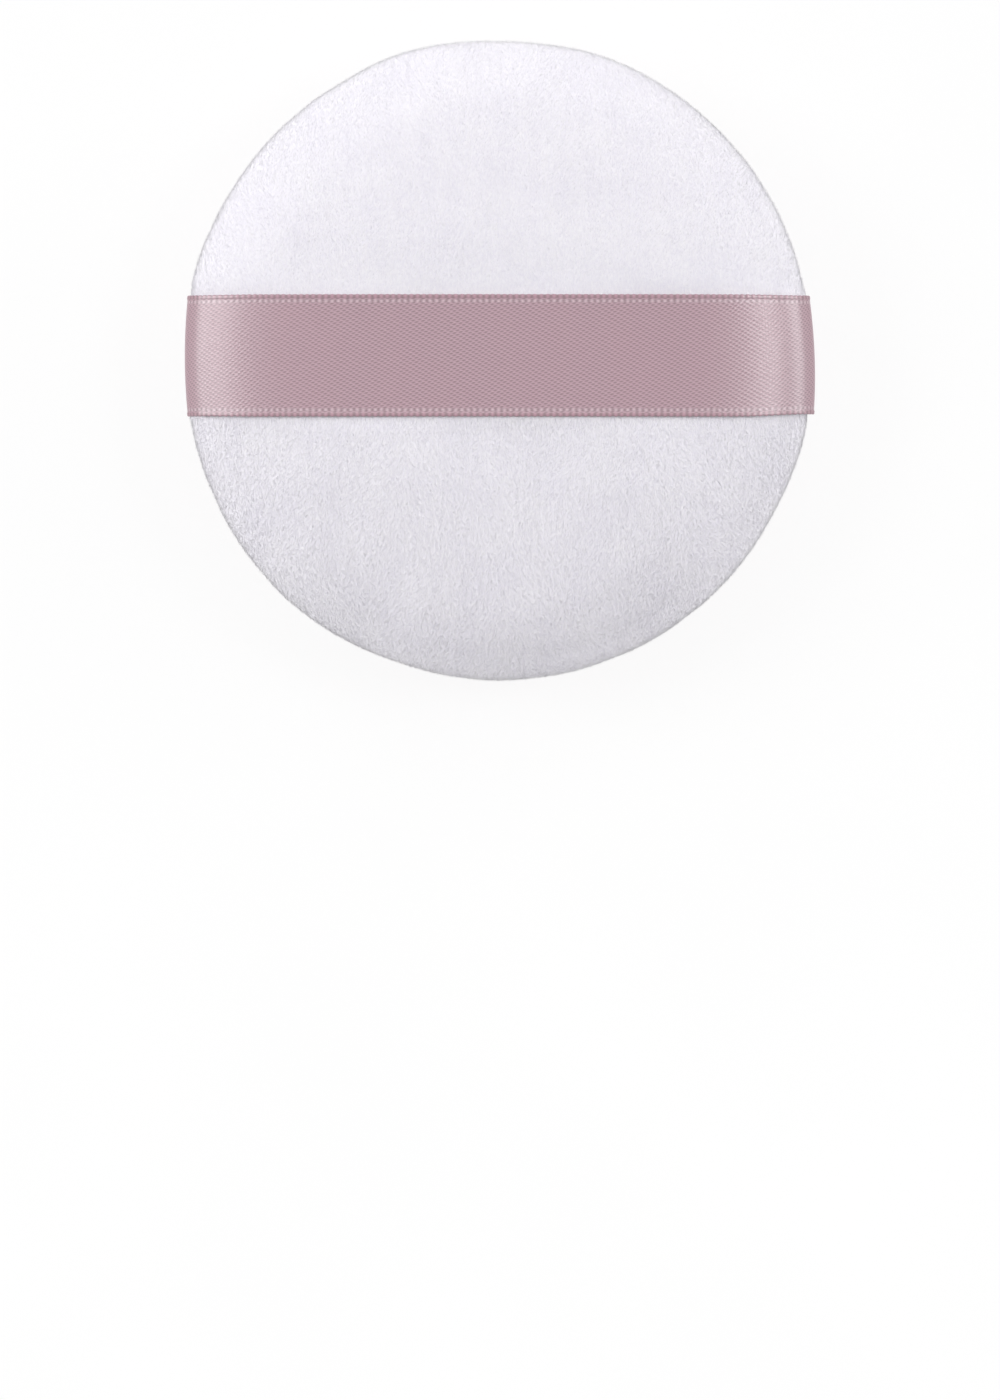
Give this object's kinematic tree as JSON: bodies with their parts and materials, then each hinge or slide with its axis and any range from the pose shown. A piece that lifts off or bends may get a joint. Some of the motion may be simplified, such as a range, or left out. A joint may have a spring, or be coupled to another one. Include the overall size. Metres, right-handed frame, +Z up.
{
  "type": "powder puff",
  "caption": "Round two-tone velour powder puff, white on the ribbon face and blush pink on the powder face, with a plain satin finger ribbon.",
  "frame": {"origin": "middle of the footprint, on the table under the powder face", "axes": "+Z up out of the ribbon face, +Y across the ribbon (up in the picture), +X along the ribbon"},
  "size_m": [0.0788, 0.08, 0.0197],
  "materials": {
    "white_velour": "matte",
    "pink_velour": "matte",
    "foam": "matte",
    "satin_ribbon": "satin",
    "white_thread": "matte",
    "mauve_thread": "matte"
  },
  "bodies": {
    "puff": {"ribbon_face_cover": "white_velour", "powder_face_cover": "pink_velour", "foam_core": "foam", "ribbon_tail_right": "satin_ribbon", "ribbon_tail_left": "satin_ribbon", "seam_needle_thread": "white_thread", "seam_bobbin_thread": "white_thread", "closing_thread": "white_thread", "basting_thread_right": "mauve_thread", "basting_thread_left": "mauve_thread"},
    "ribbon": {"finger_ribbon": "satin_ribbon"}
  },
  "joints": [
    {"name": "ribbon_lift", "type": "slide", "parent": "puff", "child": "ribbon", "axis": [0, 0, 1], "range_m": [0, 0.008], "stiffness_N_per_m": 25}
  ]
}
